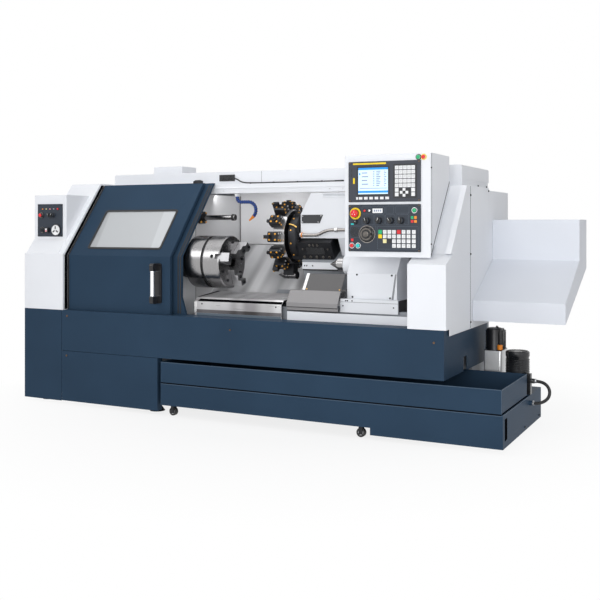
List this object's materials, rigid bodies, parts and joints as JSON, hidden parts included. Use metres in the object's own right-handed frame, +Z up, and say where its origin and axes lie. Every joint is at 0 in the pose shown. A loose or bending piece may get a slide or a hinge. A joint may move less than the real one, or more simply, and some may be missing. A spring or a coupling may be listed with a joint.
{
  "type": "cnc turning centre",
  "caption": "Slant-bed turning centre with telescopic sliding door, chuck, tool turret, tailstock, control box and wheeled swarf pan over a coolant tank.",
  "frame": {"origin": "centre of the bounding box on the floor", "axes": "+X to the right along the spindle from headstock to tailstock, +Y towards the back, +Z up"},
  "size_m": [3.215, 1.255, 1.49],
  "materials": {
    "navy_paint": "satin textured",
    "white_paint": "satin textured",
    "cast_iron": "painted grey casting",
    "dark_steel": "black oxide",
    "stainless": "brushed",
    "ground_steel": "turned and ground",
    "chrome": "polished bar",
    "panel_plastic": "matt",
    "key_plastic": "matt",
    "red_plastic": "gloss",
    "blue_plastic": "gloss",
    "black_rubber": "matt",
    "window_glass": "laminated safety glass",
    "grey_paint": "gloss"
  },
  "bodies": {
    "root": {"base_frame": "navy_paint", "leveling_feet": "dark_steel", "left_end_panel": "navy_paint", "front_panel": "navy_paint", "lower_front_panel": "navy_paint", "headstock_cabinet": "white_paint", "switch_plate": "panel_plastic", "headstock": "cast_iron", "headstock_guard": "white_paint", "spindle_motor": "dark_steel", "drive_belt": "black_rubber", "chip_slide": "stainless", "back_splash": "stainless", "front_way_cover": "stainless", "front_skirt": "white_paint", "top_beam": "white_paint", "roof_cover": "white_paint", "motor_tower": "white_paint", "right_cover": "white_paint", "right_side_panel": "white_paint", "electrical_cabinet": "white_paint", "extension_cover": "white_paint", "control_box": "white_paint", "cnc_unit": "panel_plastic", "operator_plate": "panel_plastic", "operator_keys": "key_plastic", "nozzle_hose": "blue_plastic", "tool_setter_base": "dark_steel", "tool_setter_arm": "ground_steel", "chip_pan": "navy_paint", "coolant_tank": "navy_paint", "caster_forks": "dark_steel", "coolant_pump": "dark_steel", "hydraulic_unit": "grey_paint", "coolant_hose": "black_rubber"},
    "front_door": {"door_panel": "navy_paint", "door_window": "window_glass", "door_handle": "chrome"},
    "rear_door": {"rear_door_panel": "navy_paint"},
    "spindle": {"spindle": "dark_steel", "chuck_body": "ground_steel"},
    "jaw_1": {"chuck_jaw_1": "ground_steel"},
    "jaw_2": {"chuck_jaw_2": "ground_steel"},
    "jaw_3": {"chuck_jaw_3": "ground_steel"},
    "motor_pulley": {"motor_pulley": "dark_steel"},
    "carriage": {"carriage_saddle": "cast_iron", "carriage_cover": "white_paint"},
    "cross_slide": {"turret_body": "dark_steel"},
    "turret": {"turret_disc": "dark_steel", "tool_holders": "dark_steel"},
    "tailstock": {"tailstock_body": "white_paint", "tailstock_guard": "stainless"},
    "quill": {"quill": "ground_steel"},
    "live_center": {"live_center": "ground_steel"},
    "left_wheels": {"caster_wheels_left": "black_rubber"},
    "right_wheels": {"caster_wheels_right": "black_rubber"},
    "estop": {"estop_button": "red_plastic"},
    "handwheel": {"handwheel": "dark_steel"}
  },
  "joints": [
    {"name": "front_door_slide", "type": "slide", "parent": "root", "child": "front_door", "axis": [1, 0, 0], "range_m": [0, 1.45]},
    {"name": "rear_door_slide", "type": "slide", "parent": "root", "child": "rear_door", "axis": [1, 0, 0], "range_m": [0, 0.6525]},
    {"name": "spindle_spin", "type": "hinge", "parent": "root", "child": "spindle", "pos_m": [-0.5075, -0.3165, 0.877], "axis": [1, 0, 0], "continuous": true},
    {"name": "motor_spin", "type": "hinge", "parent": "root", "child": "motor_pulley", "pos_m": [-1.4075, -0.1845, 0.33], "axis": [1, 0, 0], "continuous": true},
    {"name": "jaw_1_slide", "type": "slide", "parent": "spindle", "child": "jaw_1", "axis": [0, -0.9703, 0.2419], "range_m": [-0.005, 0.005]},
    {"name": "jaw_2_slide", "type": "slide", "parent": "spindle", "child": "jaw_2", "axis": [0, 0.2756, -0.9613], "range_m": [-0.005, 0.005]},
    {"name": "jaw_3_slide", "type": "slide", "parent": "spindle", "child": "jaw_3", "axis": [0, 0.6947, 0.7193], "range_m": [-0.005, 0.005]},
    {"name": "carriage_slide", "type": "slide", "parent": "root", "child": "carriage", "axis": [1, 0, 0], "range_m": [-0.1, 0.2]},
    {"name": "cross_slide_travel", "type": "slide", "parent": "carriage", "child": "cross_slide", "axis": [0, -0.866, -0.5], "range_m": [-0.06, 0.06]},
    {"name": "turret_index", "type": "hinge", "parent": "cross_slide", "child": "turret", "pos_m": [-0.0075, -0.0595, 1.025], "axis": [1, 0, 0], "continuous": true},
    {"name": "tailstock_slide", "type": "slide", "parent": "root", "child": "tailstock", "axis": [1, 0, 0], "range_m": [-0.3, 0.05]},
    {"name": "quill_slide", "type": "slide", "parent": "tailstock", "child": "quill", "axis": [-1, 0, 0], "range_m": [0, 0.1]},
    {"name": "center_spin", "type": "hinge", "parent": "quill", "child": "live_center", "pos_m": [0.3925, -0.3165, 0.877], "axis": [1, 0, 0], "continuous": true},
    {"name": "left_wheel_spin", "type": "hinge", "parent": "root", "child": "left_wheels", "pos_m": [-0.5125, -0.5595, 0.0245], "axis": [0, 1, 0], "continuous": true},
    {"name": "right_wheel_spin", "type": "hinge", "parent": "root", "child": "right_wheels", "pos_m": [0.6565, -0.5595, 0.0245], "axis": [0, 1, 0], "continuous": true},
    {"name": "estop_press", "type": "slide", "parent": "root", "child": "estop", "axis": [0, 1, 0], "range_m": [0, 0.006], "stiffness_N_per_m": 1500},
    {"name": "handwheel_turn", "type": "hinge", "parent": "root", "child": "handwheel", "pos_m": [0.69064, -0.5745, 1.04617], "axis": [0, 1, 0], "continuous": true}
  ],
  "couplings": [
    {"joint": "rear_door_slide", "follows": "front_door_slide", "ratio": 0.45},
    {"joint": "jaw_2_slide", "follows": "jaw_1_slide", "ratio": 1},
    {"joint": "jaw_3_slide", "follows": "jaw_1_slide", "ratio": 1},
    {"joint": "motor_spin", "follows": "spindle_spin", "ratio": 1.5}
  ]
}
